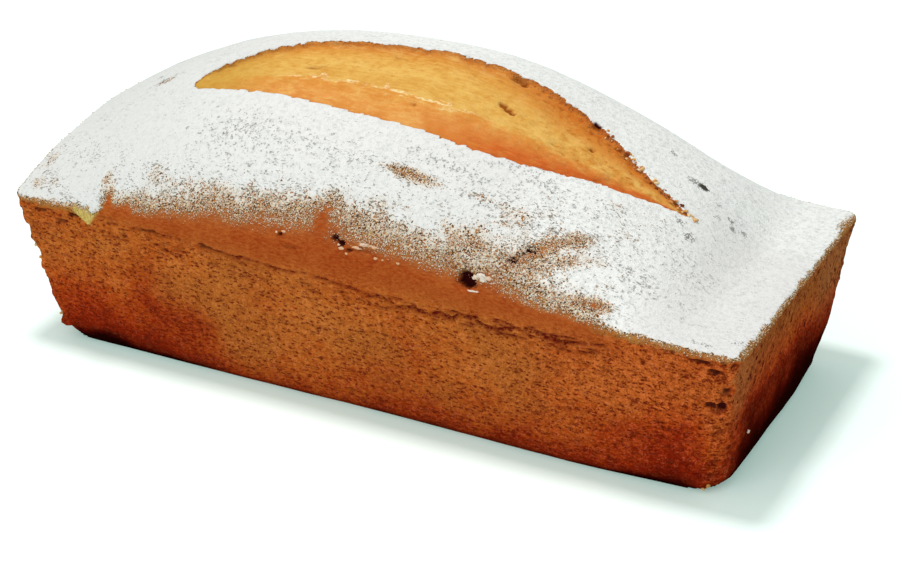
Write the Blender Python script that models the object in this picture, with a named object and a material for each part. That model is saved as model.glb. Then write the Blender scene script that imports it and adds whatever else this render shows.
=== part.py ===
"""Pound cake loaf: one solid baked body with flared walls, a domed top and an open split along the crest.

Metres, +Z up, +X along the loaf, origin at the centre of the footprint.
The body is lofted from closed loops: a rounded bottom edge, flared walls taken from the tin,
a faint shoulder line where the dough rose out of the tin, and a top laid out on a grid of
stations along the loaf and rows across it, two of which are the lips of the split.
"""

import math

import bmesh
import bpy

for old in list(bpy.data.objects):
    bpy.data.objects.remove(old, do_unlink=True)

MM = 0.001

# The part of the loaf shaped by the tin.
BASE_LENGTH = 220.0 * MM
BASE_WIDTH = 89.0 * MM
RIM_LENGTH = 229.6 * MM
RIM_WIDTH = 106.2 * MM
RIM_HEIGHT = 47.4 * MM
BASE_CORNER_RADIUS = 9.8 * MM
RIM_CORNER_RADIUS = 4.6 * MM
BOTTOM_EDGE_RADIUS = 3.8 * MM

# The domed top that rose above the tin.
CREST_RISE = 44.4 * MM
CREST_X = -0.5 * MM
CREST_Y = 7.4 * MM
LEFT_REACH = 141.0 * MM
LEFT_ROUNDNESS = 2.95
LEFT_TAPER = 1.57
RIGHT_REACH = 98.0 * MM
RIGHT_ROUNDNESS = 1.72
RIGHT_TAPER = 0.85
RIGHT_SHELF_RISE = 1.7 * MM
RIGHT_SHELF_ROUNDNESS = 10.0
NEAR_ROUNDNESS = 1.62
FAR_ROUNDNESS = 2.5
BULGE_MIDDLE = 2.05
BULGE_ENDS = 1.15
BULGE_REACH = 110.0 * MM

# The shoulder line pinched between tin-shaped wall and risen band.
SHOULDER_HEIGHT = 42.0 * MM
SHOULDER_DEPTH = 0.7 * MM
SHOULDER_HALF_HEIGHT = 1.5 * MM
SHOULDER_START_X = -82.0 * MM
SHOULDER_END_X = 88.0 * MM

# The split along the crest.
SPLIT_LEFT_X = -73.2 * MM
SPLIT_RIGHT_X = 83.0 * MM
SPLIT_WIDEST_X = 20.5 * MM
SPLIT_HALF_WIDTH = 18.9 * MM
SPLIT_LEFT_BLUNTNESS = 0.52
SPLIT_RIGHT_BLUNTNESS = 1.39
SPLIT_MIDDLE_Y = -6.4 * MM
SPLIT_LEFT_BEND = -7.6 * MM
SPLIT_RIGHT_BEND = 4.2 * MM
SPLIT_DEPTH = 1.9 * MM
SPLIT_CLOSED_HALF_WIDTH = 1.6 * MM
SPLIT_FULL_DEPTH_HALF_WIDTH = 6.0 * MM

# Share of the way from the near lip to the far lip, and share of the split's depth found there.
SPLIT_PROFILE = (
    (0.00, 0.00),
    (0.035, 1.00),
    (0.13, 0.98),
    (0.23, 0.72),
    (0.30, 0.36),
    (0.335, 0.30),
    (0.37, 0.66),
    (0.50, 0.58),
    (0.64, 0.55),
    (0.78, 0.62),
    (0.90, 0.80),
    (0.965, 1.00),
    (1.00, 0.00),
)

# How finely the body is divided.
STATIONS = 48
CORNER_STEPS = 3
LIP_ROWS = (0.0, 0.012, 0.045, 0.11, 0.20, 0.32, 0.47, 0.64, 0.82)
SHARP_ANGLE = 38.0


def smooth_step(low, high, value):
    share = min(1.0, max(0.0, (value - low) / (high - low)))
    return share * share * (3.0 - 2.0 * share)


def crest_rise(x):
    """Height of the crest above the rim at a place along the loaf."""
    if x < CREST_X:
        share = min(1.0, (CREST_X - x) / LEFT_REACH)
        return CREST_RISE * (1.0 - share ** LEFT_ROUNDNESS) ** LEFT_TAPER
    share = min(1.0, (x - CREST_X) / RIGHT_REACH)
    dome = CREST_RISE * (1.0 - share ** RIGHT_ROUNDNESS) ** RIGHT_TAPER
    # Past the foot of the dome the top is a shelf, barely higher than the rim.
    to_edge = max(0.0, 2.0 * x / RIM_LENGTH)
    shelf = RIGHT_SHELF_RISE * (1.0 - min(1.0, to_edge) ** RIGHT_SHELF_ROUNDNESS)
    return math.hypot(dome, shelf)


def dome_height(x, y):
    """Height of the risen top: upright at the long rims in the middle, flatter toward the ends."""
    half = 0.5 * RIM_WIDTH
    if y < CREST_Y:
        across = (CREST_Y - y) / (half + CREST_Y)
        roundness = NEAR_ROUNDNESS
    else:
        across = (y - CREST_Y) / (half - CREST_Y)
        roundness = FAR_ROUNDNESS
    across = min(1.0, across)
    middle = max(0.0, 1.0 - ((x - CREST_X) / BULGE_REACH) ** 2)
    bulge = BULGE_ENDS + (BULGE_MIDDLE - BULGE_ENDS) * middle
    return RIM_HEIGHT + crest_rise(x) * (1.0 - across ** roundness) ** (1.0 / bulge)


def split_half_width(x):
    if x < SPLIT_WIDEST_X:
        share = (SPLIT_WIDEST_X - x) / (SPLIT_WIDEST_X - SPLIT_LEFT_X)
        bluntness = SPLIT_LEFT_BLUNTNESS
    else:
        share = (x - SPLIT_WIDEST_X) / (SPLIT_RIGHT_X - SPLIT_WIDEST_X)
        bluntness = SPLIT_RIGHT_BLUNTNESS
    if share >= 1.0:
        return 0.0
    return SPLIT_HALF_WIDTH * (1.0 - share * share) ** bluntness


def split_middle(x):
    if x < 0.0:
        return SPLIT_MIDDLE_Y + SPLIT_LEFT_BEND * min(1.0, x / SPLIT_LEFT_X) ** 4
    return SPLIT_MIDDLE_Y + SPLIT_RIGHT_BEND * min(1.0, x / SPLIT_RIGHT_X) ** 4


def split_depth(x):
    return SPLIT_DEPTH * smooth_step(0.0, SPLIT_FULL_DEPTH_HALF_WIDTH, split_half_width(x))


def row_places(x):
    """Places across the loaf at one station, each with the depth cut away there."""
    half = 0.5 * RIM_WIDTH
    middle = split_middle(x)
    spread = max(split_half_width(x), SPLIT_CLOSED_HALF_WIDTH)
    # Outside the split the rows of the split fan out again, so that no row is pinched.
    outside = max(0.0, SPLIT_LEFT_X - x, x - SPLIT_RIGHT_X)
    spread = spread + 0.35 * outside
    near, far = middle - spread, middle + spread
    depth = split_depth(x)
    rows = [(-half + share * (near + half), 0.0) for share in LIP_ROWS]
    rows += [(near + share * (far - near), depth * cut) for share, cut in SPLIT_PROFILE]
    rows += [(half + share * (far - half), 0.0) for share in reversed(LIP_ROWS)]
    return rows


def rounded(x, y, half_length, half_width, radius):
    """Moves a place near a corner of a rectangle onto the same rectangle with rounded corners."""
    across = (abs(x) - (half_length - radius)) / radius
    up = (abs(y) - (half_width - radius)) / radius
    if across <= 0.0 or up <= 0.0:
        return x, y
    new_across = across * math.sqrt(1.0 - 0.5 * up * up)
    new_up = up * math.sqrt(1.0 - 0.5 * across * across)
    new_x = math.copysign(half_length - radius + radius * new_across, x)
    new_y = math.copysign(half_width - radius + radius * new_up, y)
    return new_x, new_y


def resized(value, half_from, radius_from, half_to, radius_to):
    """Carries a place on a straight side or in its corner zone over to a side of another size."""
    straight_from = half_from - radius_from
    straight_to = half_to - radius_to
    if abs(value) <= straight_from:
        return value * straight_to / straight_from
    share = (abs(value) - straight_from) / radius_from
    return math.copysign(straight_to + share * radius_to, value)


def station_places():
    half = 0.5 * RIM_LENGTH
    straight = half - RIM_CORNER_RADIUS
    places = []
    for step in range(STATIONS + 1):
        share = -1.0 + 2.0 * step / STATIONS
        places.append(straight * (0.86 * share + 0.14 * math.sin(0.5 * math.pi * share)))
    corner = [straight + RIM_CORNER_RADIUS * (step + 1) / CORNER_STEPS for step in range(CORNER_STEPS)]
    return [-value for value in reversed(corner)] + places + corner


STATION_X = station_places()
ROW_COUNT = len(row_places(0.0))
LAST_STATION = len(STATION_X) - 1
LAST_ROW = ROW_COUNT - 1

# Border of the grid, walked once around anticlockwise as seen from above.
border = [(i, 0) for i in range(LAST_STATION)]
border += [(LAST_STATION, j) for j in range(LAST_ROW)]
border += [(i, LAST_ROW) for i in range(LAST_STATION, 0, -1)]
border += [(0, j) for j in range(LAST_ROW, 0, -1)]

mesh = bmesh.new()
HALF_LENGTH = 0.5 * RIM_LENGTH
HALF_WIDTH = 0.5 * RIM_WIDTH

# Top of the loaf.
plan = {}
top = {}
for i, x in enumerate(STATION_X):
    for j, (y, cut) in enumerate(row_places(x)):
        px, py = rounded(x, y, HALF_LENGTH, HALF_WIDTH, RIM_CORNER_RADIUS)
        plan[i, j] = (x, y)
        top[i, j] = mesh.verts.new((px, py, dome_height(px, y) - cut))
for i in range(LAST_STATION):
    for j in range(LAST_ROW):
        mesh.faces.new((top[i, j], top[i + 1, j], top[i + 1, j + 1], top[i, j + 1]))


def wall_levels():
    """Heights of the wall loops with the inset from the plain flared wall at each of them."""
    levels = []
    for angle in (0.0, 22.5, 45.0, 67.5):
        turn = math.radians(angle)
        levels.append((BOTTOM_EDGE_RADIUS * (1.0 - math.cos(turn)), BOTTOM_EDGE_RADIUS * (1.0 - math.sin(turn))))
    levels.append((BOTTOM_EDGE_RADIUS, 0.0))
    for height in (10.0 * MM, 18.0 * MM, 26.0 * MM, 33.5 * MM):
        levels.append((height, 0.0))
    levels.append((SHOULDER_HEIGHT - SHOULDER_HALF_HEIGHT, 0.0))
    levels.append((SHOULDER_HEIGHT, 0.0))
    levels.append((SHOULDER_HEIGHT + SHOULDER_HALF_HEIGHT, 0.0))
    return levels


def wall_place(node, height, inset):
    """Place of one column of the wall at one height of the flared tin shape."""
    x, y = plan[node]
    rise = height / RIM_HEIGHT
    half_length = 0.5 * (BASE_LENGTH + (RIM_LENGTH - BASE_LENGTH) * rise) - inset
    half_width = 0.5 * (BASE_WIDTH + (RIM_WIDTH - BASE_WIDTH) * rise) - inset
    radius = BASE_CORNER_RADIUS + (RIM_CORNER_RADIUS - BASE_CORNER_RADIUS) * rise - 0.5 * inset
    wx = resized(x, HALF_LENGTH, RIM_CORNER_RADIUS, half_length, radius)
    wy = resized(y, HALF_WIDTH, RIM_CORNER_RADIUS, half_width, radius)
    wx, wy = rounded(wx, wy, half_length, half_width, radius)
    if node[1] in (0, LAST_ROW) and height == SHOULDER_HEIGHT:
        along = smooth_step(SHOULDER_START_X, SHOULDER_START_X + 20.0 * MM, x)
        along *= 1.0 - smooth_step(SHOULDER_END_X - 20.0 * MM, SHOULDER_END_X, x)
        wy -= math.copysign(SHOULDER_DEPTH * along, wy)
    # Where the dough rose above the rim at the ends, the wall is stretched up to meet it.
    lift = top[node].co.z - RIM_HEIGHT
    height += lift * smooth_step(0.25 * RIM_HEIGHT, RIM_HEIGHT, height)
    return wx, wy, height


loops = []
for height, inset in wall_levels():
    loops.append([mesh.verts.new(wall_place(node, height, inset)) for node in border])
loops.append([top[node] for node in border])
count = len(border)
for lower, upper in zip(loops, loops[1:]):
    for k in range(count):
        n = (k + 1) % count
        mesh.faces.new((lower[k], lower[n], upper[n], upper[k]))

# Flat underside.
mesh.faces.new(list(reversed(loops[0])))

mesh.normal_update()
volume = mesh.calc_volume(signed=True)
print("loaf volume, litres:", round(volume * 1000.0, 3))
if volume < 0.0:
    bmesh.ops.reverse_faces(mesh, faces=mesh.faces)

data = bpy.data.meshes.new("loaf")
mesh.to_mesh(data)
mesh.free()
for polygon in data.polygons:
    polygon.use_smooth = True
data.set_sharp_from_angle(angle=math.radians(SHARP_ANGLE))

crust = bpy.data.materials.new("baked_crumb")
crust.use_nodes = True
shader = crust.node_tree.nodes["Principled BSDF"]
shader.inputs["Base Color"].default_value = (0.47, 0.19, 0.055, 1.0)
shader.inputs["Roughness"].default_value = 0.72
shader.inputs["Metallic"].default_value = 0.0
data.materials.append(crust)

loaf = bpy.data.objects.new("loaf", data)
bpy.context.scene.collection.objects.link(loaf)

triangles = sum(len(polygon.vertices) - 2 for polygon in data.polygons)
print("loaf triangles:", triangles)
lows = [min(vertex.co[axis] for vertex in data.vertices) for axis in range(3)]
highs = [max(vertex.co[axis] for vertex in data.vertices) for axis in range(3)]
print("loaf size, mm:", [round((high - low) / MM, 1) for low, high in zip(lows, highs)])
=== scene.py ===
# %% [markdown]
# # A pound cake loaf dusted with icing sugar
# The real thing is one body of cake. A tin pressed its walls smooth, its top rose free and split
# open along the crest, and icing sugar was sifted over it from straight above.
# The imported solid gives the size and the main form, so it is opened first and never changed.
# Everything below is its skin: a finer copy of the solid, relief, finishes, loose sugar and crumbs.

# %% Open the solid loaf
import itertools

import bmesh
import bpy
import mathutils
import numpy as np
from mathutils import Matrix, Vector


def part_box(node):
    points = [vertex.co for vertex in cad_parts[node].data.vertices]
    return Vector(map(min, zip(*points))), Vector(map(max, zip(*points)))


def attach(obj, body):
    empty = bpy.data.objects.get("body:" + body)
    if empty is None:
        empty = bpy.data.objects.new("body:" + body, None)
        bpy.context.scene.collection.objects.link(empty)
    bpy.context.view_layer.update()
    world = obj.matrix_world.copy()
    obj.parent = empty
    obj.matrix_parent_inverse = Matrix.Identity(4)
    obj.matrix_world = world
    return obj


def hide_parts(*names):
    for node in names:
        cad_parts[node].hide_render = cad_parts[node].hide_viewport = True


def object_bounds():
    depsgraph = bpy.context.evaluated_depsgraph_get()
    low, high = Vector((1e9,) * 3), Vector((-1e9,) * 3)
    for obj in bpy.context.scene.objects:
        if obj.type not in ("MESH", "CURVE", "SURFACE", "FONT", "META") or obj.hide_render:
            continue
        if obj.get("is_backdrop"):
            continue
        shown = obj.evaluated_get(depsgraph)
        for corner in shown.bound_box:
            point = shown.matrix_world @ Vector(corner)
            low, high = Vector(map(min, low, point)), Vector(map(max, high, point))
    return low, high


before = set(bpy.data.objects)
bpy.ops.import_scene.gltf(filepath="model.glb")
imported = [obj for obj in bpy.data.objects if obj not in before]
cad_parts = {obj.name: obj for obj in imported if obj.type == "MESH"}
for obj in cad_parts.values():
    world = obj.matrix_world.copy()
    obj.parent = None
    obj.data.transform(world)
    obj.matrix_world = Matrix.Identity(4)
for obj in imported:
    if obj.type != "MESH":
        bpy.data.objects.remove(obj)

solid_low, solid_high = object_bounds()
loaf_low, loaf_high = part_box("loaf")
MM = 0.001
print("solid loaf, mm:", [round(side / MM, 1) for side in loaf_high - loaf_low])

# %% [markdown]
# ## Camera, floor and light
# A loaf is looked at from a little above, with one long side and one end in sight.
# The floor is plain and pale. The light is a broad soft panel high above the loaf and slightly to
# the left, with a pale world around it, as in a small product studio: sugar then stays bright
# without glare, and the upright walls fall off gently.

# %% Camera
CAMERA_TURN = np.radians(27.34)
CAMERA_RISE = np.radians(26.02)
CAMERA_DISTANCE = 650.0 * MM
CAMERA_AIM = mathutils.Vector((13.25, -14.25, 30.4)) * MM
CAMERA_LENS = 87.96

back = mathutils.Vector((
    np.sin(CAMERA_TURN) * np.cos(CAMERA_RISE),
    -np.cos(CAMERA_TURN) * np.cos(CAMERA_RISE),
    np.sin(CAMERA_RISE),
))
camera_data = bpy.data.cameras.new("camera")
camera_data.lens = CAMERA_LENS
camera_data.clip_start = 0.01
camera_data.clip_end = 20.0
camera = bpy.data.objects.new("camera", camera_data)
camera.location = CAMERA_AIM + back * CAMERA_DISTANCE
camera.rotation_euler = (-back).to_track_quat("-Z", "Y").to_euler()
bpy.context.scene.collection.objects.link(camera)
bpy.context.scene.camera = camera
print("camera at, mm:", [round(value / MM) for value in camera.location])

# %% Light
def soft_panel(name, place, aim, size, power):
    """A square light panel facing a point."""
    light = bpy.data.lights.new(name, "AREA")
    light.shape = "SQUARE"
    light.size = size
    light.energy = power
    panel = bpy.data.objects.new(name, light)
    panel.location = place
    direction = mathutils.Vector(aim) - panel.location
    panel.rotation_euler = direction.to_track_quat("-Z", "Y").to_euler()
    bpy.context.scene.collection.objects.link(panel)
    return panel


soft_panel("high panel", (-0.14, -0.02, 1.17), (0.0, 0.0, 0.04), 0.19, 7.4)
soft_panel("front panel", (-0.35, -1.5, 0.75), (0.0, 0.0, 0.04), 0.9, 7.0)

world = bpy.data.worlds.new("studio")
world.use_nodes = True
world.node_tree.nodes["Background"].inputs["Color"].default_value = (0.95, 1.0, 0.98, 1.0)
world.node_tree.nodes["Background"].inputs["Strength"].default_value = 0.70
bpy.context.scene.world = world
bpy.context.scene.view_settings.view_transform = "Standard"
bpy.context.scene.view_settings.look = "None"

# %% [markdown]
# ## Writing materials as sums
# A material is a web of nodes. Wiring it by hand hides the idea, so one small class wraps a
# socket: adding or multiplying two of them adds the Math node that does it, and colours are
# mixed with a Mix node. Every other kind of node comes from one method.

# %% A socket that can be added and multiplied
class Wire:
    """One output socket of a material, or only its node tree when a material begins."""

    def __init__(self, tree, socket=None):
        self.tree = tree
        self.socket = socket

    def node(self, kind, settings=None, sockets=None, output=0):
        """Adds a node: its settings first, then the values or wires of its sockets."""
        made = self.tree.nodes.new(kind)
        for name, value in (settings or {}).items():
            if name == "stops":
                ramp = made.color_ramp
                while len(ramp.elements) < len(value):
                    ramp.elements.new(0.5)
                for stop, (place, colour) in zip(ramp.elements, value):
                    stop.position = place
                    stop.color = (*colour, 1.0)
            else:
                setattr(made, name, value)
        for name, value in (sockets or {}).items():
            if isinstance(value, Wire):
                self.tree.links.new(value.socket, made.inputs[name])
            else:
                made.inputs[name].default_value = value
        return Wire(self.tree, made.outputs[output])

    def also(self, output):
        """Another output of the node that this wire comes from."""
        return Wire(self.tree, self.socket.node.outputs[output])

    def maths(self, operation, *terms):
        return self.node("ShaderNodeMath", {"operation": operation}, dict(enumerate(terms)))

    def __add__(self, other):
        return self.maths("ADD", self, other)

    __radd__ = __add__

    def __sub__(self, other):
        return self.maths("SUBTRACT", self, other)

    def __rsub__(self, other):
        return self.maths("SUBTRACT", other, self)

    def __mul__(self, other):
        return self.maths("MULTIPLY", self, other)

    __rmul__ = __mul__

    def __truediv__(self, other):
        return self.maths("DIVIDE", self, other)

    def between(self, low, high):
        """0 at low, 1 at high, with soft ends."""
        settings = {"interpolation_type": "SMOOTHSTEP"}
        return self.node("ShaderNodeMapRange", settings, {"Value": self, "From Min": low, "From Max": high})

    def mixed(self, first, second):
        """The first colour where this is 0, the second where it is 1."""
        first = first if isinstance(first, Wire) else (*first, 1.0)
        second = second if isinstance(second, Wire) else (*second, 1.0)
        sockets = {0: self, 6: first, 7: second}
        return self.node("ShaderNodeMix", {"data_type": "RGBA"}, sockets, 2)


# %% Reading places, textures and stored fields
def stored(start, name):
    """A field kept on the points of the mesh."""
    return start.node("ShaderNodeAttribute", {"attribute_name": name}, {}, 2)


def stretched(start, sizes):
    """The place on the loaf counted in steps of the given sizes in millimetres."""
    place = start.node("ShaderNodeTexCoord", {}, {}, 3)
    steps = tuple(1.0 / (size * MM) for size in sizes)
    return start.node("ShaderNodeVectorMath", {"operation": "MULTIPLY"}, {0: place, 1: steps})


def clouds(start, sizes, detail=2.0, roughness=0.5):
    """Soft noise from 0 to 1 with lumps of about the given sizes in millimetres."""
    sockets = {"Vector": stretched(start, sizes), "Scale": 1.0, "Detail": detail, "Roughness": roughness}
    return start.node("ShaderNodeTexNoise", {}, sockets)


def cells(start, sizes, output):
    """Random cells of about the given sizes: output 0 is the distance, 1 a random colour."""
    sockets = {"Vector": stretched(start, sizes), "Scale": 1.0}
    return start.node("ShaderNodeTexVoronoi", {}, sockets, output)


def new_finish(name, base, roughness):
    """A material with a Principled shader, and the wire that starts its web."""
    finish = bpy.data.materials.new(name)
    finish.use_nodes = True
    shader = finish.node_tree.nodes["Principled BSDF"]
    shader.inputs["Base Color"].default_value = (*base, 1.0)
    shader.inputs["Roughness"].default_value = roughness
    return finish, shader, Wire(finish.node_tree)


def feed(wire, shader, socket):
    wire.tree.links.new(wire.socket, shader.inputs[socket])


# %% Floor
FLOOR_HALF = 4.0
floor_data = bpy.data.meshes.new("floor")
corners = [(-FLOOR_HALF, -FLOOR_HALF), (FLOOR_HALF, -FLOOR_HALF), (FLOOR_HALF, FLOOR_HALF), (-FLOOR_HALF, FLOOR_HALF)]
floor_level = loaf_low.z - 0.1 * MM
floor_data.from_pydata([(x, y, floor_level) for x, y in corners], [], [(0, 1, 2, 3)])
floor = bpy.data.objects.new("floor", floor_data)
bpy.context.scene.collection.objects.link(floor)
floor_finish, floor_shader, _ = new_finish("pale floor", (0.78, 0.80, 0.79), 0.9)
floor_shader.inputs["Specular IOR Level"].default_value = 0.0
floor_shader.inputs["Emission Color"].default_value = (0.55, 1.0, 0.86, 1.0)
floor_shader.inputs["Emission Strength"].default_value = 0.25
floor.data.materials.append(floor_finish)
floor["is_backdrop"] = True
print("floor laid at", round(floor_level / MM, 2), "mm")

# %% [markdown]
# ## A fine, even skin
# The solid is faceted and coarse. To carry pores and sugar it needs small, even faces. A voxel
# remesh of a copy gives them without any seam, because it rebuilds the skin from its volume.
# A few rounds of smoothing then melt the old facets away and round the rim as a crust is.

# %% Remesh a copy of the solid
SKIN_STEP = 0.72 * MM


def fine_copy(source, name, step):
    piece = bpy.data.objects.new(name, source.data.copy())
    bpy.context.scene.collection.objects.link(piece)
    mesh = bmesh.new()
    mesh.from_mesh(piece.data)
    bmesh.ops.remove_doubles(mesh, verts=mesh.verts, dist=0.000001)
    mesh.to_mesh(piece.data)
    mesh.free()
    remesh = piece.modifiers.new("even skin", "REMESH")
    remesh.mode = "VOXEL"
    remesh.voxel_size = step
    graph = bpy.context.evaluated_depsgraph_get()
    even = bpy.data.meshes.new_from_object(piece.evaluated_get(graph))
    piece.modifiers.clear()
    piece.data = even
    return piece


loaf = fine_copy(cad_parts["loaf"], "loaf_skin", SKIN_STEP)
print("points in the skin:", len(loaf.data.vertices))


# %% Read, write and smooth points
def read_points(mesh):
    values = np.empty(len(mesh.vertices) * 3, np.float32)
    mesh.vertices.foreach_get("co", values)
    return values.reshape(-1, 3).astype(np.float64) / MM


def write_points(mesh, points):
    mesh.vertices.foreach_set("co", (points * MM).astype(np.float32).ravel())
    mesh.update()


def read_normals(mesh):
    values = np.empty(len(mesh.vertices) * 3, np.float32)
    mesh.vertex_normals.foreach_get("vector", values)
    return values.reshape(-1, 3).astype(np.float64)


def read_edges(mesh):
    values = np.empty(len(mesh.edges) * 2, np.int32)
    mesh.edges.foreach_get("vertices", values)
    return values.reshape(-1, 2)


def smoothed(values, edges, rounds, share):
    """Moves each value toward the mean of its neighbours; share may differ from point to point."""
    count = len(values)
    first, second = edges[:, 0], edges[:, 1]
    degree = np.bincount(first, minlength=count) + np.bincount(second, minlength=count)
    for _ in range(rounds):
        means = np.empty_like(values)
        for axis in range(values.shape[1]):
            total = np.bincount(first, values[second, axis], count)
            total += np.bincount(second, values[first, axis], count)
            means[:, axis] = total / degree
        values = values + (means - values) * share
    return values


# %% [markdown]
# ## Shapes that are worked out from places
# Relief and finish both follow a handful of fields, such as how deep inside the split a point
# lies. Each field is a plain function of the place, in millimetres, so geometry and colour agree.

# %% Small helpers for fields
def step_up(low, high, value):
    share = np.clip((value - low) / (high - low), 0.0, 1.0)
    return share * share * (3.0 - 2.0 * share)


def hump(value, centre, width):
    """1 at the centre, fading over the given width."""
    return np.exp(-((value - centre) / width) ** 2)


def lumps(points, size, seed):
    """Soft random values from -1 to 1 with lumps of about one size."""
    table = np.random.default_rng(seed).uniform(-1.0, 1.0, (48, 48, 48))
    place = points / size + 1000.0
    cell = np.floor(place).astype(int)
    part = place - cell
    part = part * part * (3.0 - 2.0 * part)
    total = np.zeros(len(points))
    for corner in itertools.product((0, 1), repeat=3):
        weight = np.prod(np.where(corner, part, 1.0 - part), axis=1)
        index = (cell + corner) % 48
        total += weight * table[index[:, 0], index[:, 1], index[:, 2]]
    return total


def pits(points, sizes, share, seed):
    """0 on the plain surface, up to 1 in the middle of scattered hollows."""
    random = np.random.default_rng(seed)
    centres = random.uniform(0.15, 0.85, (32, 32, 32, 3))
    reach = random.uniform(0.25, 0.62, (32, 32, 32)) * (random.uniform(0, 1, (32, 32, 32)) < share)
    place = points / np.asarray(sizes) + 1000.0
    cell = np.floor(place).astype(int)
    depth = np.zeros(len(points))
    for shift in itertools.product((-1, 0, 1), repeat=3):
        near = cell + shift
        index = near % 32
        middle = near + centres[index[:, 0], index[:, 1], index[:, 2]]
        radius = reach[index[:, 0], index[:, 1], index[:, 2]] + 1e-6
        distance = np.linalg.norm(place - middle, axis=1)
        depth = np.maximum(depth, 1.0 - np.minimum(1.0, distance / radius) ** 2)
    return depth


# %% The split's outline
SPLIT_LEFT_X = -73.2
SPLIT_RIGHT_X = 83.0
SPLIT_WIDEST_X = 20.5
SPLIT_HALF_WIDTH = 18.9
SPLIT_LEFT_BLUNTNESS = 0.52
SPLIT_RIGHT_BLUNTNESS = 1.39
SPLIT_MIDDLE_Y = -6.4
SPLIT_LEFT_BEND = -7.6
SPLIT_RIGHT_BEND = 4.2


def split_lips(x):
    """Places of the near and far lip of the split across the loaf, as in the solid."""
    left = (SPLIT_WIDEST_X - x) / (SPLIT_WIDEST_X - SPLIT_LEFT_X)
    right = (x - SPLIT_WIDEST_X) / (SPLIT_RIGHT_X - SPLIT_WIDEST_X)
    share = np.clip(np.where(x < SPLIT_WIDEST_X, left, right), 0.0, 1.0)
    bluntness = np.where(x < SPLIT_WIDEST_X, SPLIT_LEFT_BLUNTNESS, SPLIT_RIGHT_BLUNTNESS)
    half = SPLIT_HALF_WIDTH * (1.0 - share * share) ** bluntness
    bend = np.where(
        x < 0.0,
        SPLIT_LEFT_BEND * np.clip(x / SPLIT_LEFT_X, 0.0, 1.0) ** 4,
        SPLIT_RIGHT_BEND * np.clip(x / SPLIT_RIGHT_X, 0.0, 1.0) ** 4,
    )
    middle = SPLIT_MIDDLE_Y + bend
    return middle - half, middle + half


# %% Melt the facets
edges = read_edges(loaf.data)
points = read_points(loaf.data)
near_lip, far_lip = split_lips(points[:, 0])
lip_gap = np.minimum(np.abs(points[:, 1] - near_lip), np.abs(points[:, 1] - far_lip))
on_lip = (points[:, 2] > 58.0) & (lip_gap < 2.2) & (far_lip - near_lip > 1.0)
flat_rim = (np.abs(points[:, 2] - 47.0) < 2.2) & ((points[:, 0] > 78.0) | (points[:, 0] < -95.0))
normals_up = read_normals(loaf.data)[:, 2]
share = np.where(on_lip, 0.04, np.where(flat_rim, 0.14, 0.5))[:, None]
points = smoothed(points, edges, 14, share)
# The dome runs out onto the flat right end in a soft sweep and not in a crease.
x, y, z = points.T
sweep = step_up(62.0, 72.0, x) * (1.0 - step_up(94.0, 104.0, x)) * (1.0 - step_up(41.0, 49.0, np.abs(y)))
sweep = sweep * (z > 46.9) * (normals_up > 0.4)
chosen = np.flatnonzero(sweep > 0.0)
place_in_part = np.full(len(points), -1)
place_in_part[chosen] = np.arange(len(chosen))
part_edges = place_in_part[edges]
part_edges = part_edges[(part_edges >= 0).all(axis=1)]
points[chosen] = smoothed(points[chosen], part_edges, 160, 0.5 * sweep[chosen, None])
write_points(loaf.data, points)
normals = read_normals(loaf.data)
print("skin size, mm:", (points.max(0) - points.min(0)).round(1))

# %% [markdown]
# ## Where things lie on the crust
# Sugar was sifted straight down, so it lies thick where the crust faces up and thins out where it
# turns upright. That one rule, with uneven clumps added, gives the ragged edge along both long
# sides. The band above the shoulder line rose free of the tin and is smooth; below it the wall
# shows the open crumb that touched the tin. Its colour darkens towards the bottom edge, most on
# the right end, and is painted lighter where the rounded foot and corners get little light.

# %% Inside the split
def split_fields(points):
    """How far a point is inside the split, in millimetres, and its share of the way across."""
    x, y, z = points.T
    near_lip, far_lip = split_lips(x)
    far_lip = far_lip + 1.0 * hump(x, 78.0, 6.0)
    ragged = 0.45 * lumps(points, 2.4, 11) + 0.32 * lumps(points, 1.1, 12)
    inside = np.minimum(y - near_lip, far_lip - y) + ragged
    past_tips = np.maximum(SPLIT_LEFT_X - x, x - SPLIT_RIGHT_X)
    inside = np.where(past_tips > 0.0, -np.hypot(inside, past_tips), inside)
    inside = np.where(z > 57.0, np.clip(inside, -8.0, 8.0), -8.0)
    across = (y - near_lip) / np.maximum(far_lip - near_lip, 0.5)
    return inside, np.clip(across, 0.0, 1.0)


# %% Where the sugar lies
# Spots with less sugar: place along and across, half length, half width, turn, strength.
BARE_SPOTS = (
    (12.0, -37.6, 11.0, 1.8, -2.0, 1.05),
    (34.0, -36.8, 7.0, 1.3, 4.0, 0.35),
    (60.0, -37.7, 12.0, 2.2, 42.0, 0.70),
    (52.0, -45.0, 5.0, 1.6, 42.0, 0.35),
    (62.0, -42.5, 8.0, 2.2, 30.0, 0.50),
    (73.6, -48.6, 6.0, 1.5, 10.0, 0.75),
    (36.0, -46.5, 10.0, 2.0, -4.0, 0.30),
    (-8.0, -48.6, 4.2, 2.4, 10.0, 0.55),
    (-96.0, -40.0, 7.0, 4.0, 40.0, 0.35),
    (-104.0, -47.6, 8.0, 3.2, 8.0, 0.66),
    (-80.8, -50.5, 1.3, 2.2, 0.0, 1.10),
    (-77.0, -52.4, 6.0, 1.2, 8.0, 0.60),
    (-110.0, -38.0, 5.0, 11.0, 0.0, 0.95),
    (113.0, 42.0, 2.6, 9.0, 0.0, 1.20),
    (-83.6, -46.0, 3.4, 2.0, 60.0, 0.70),
    (-67.0, -44.0, 5.0, 3.0, 0.0, 0.30),
    (-86.0, -8.0, 6.0, 2.4, 30.0, 0.95),
    (-101.0, -22.0, 5.0, 3.0, 20.0, 0.45),
    (-30.0, 40.0, 12.0, 2.4, 5.0, 0.5),
    (20.0, 44.0, 9.0, 2.0, -12.0, 0.6),
    (64.0, 44.0, 9.0, 2.4, 8.0, 0.4),
)
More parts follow.
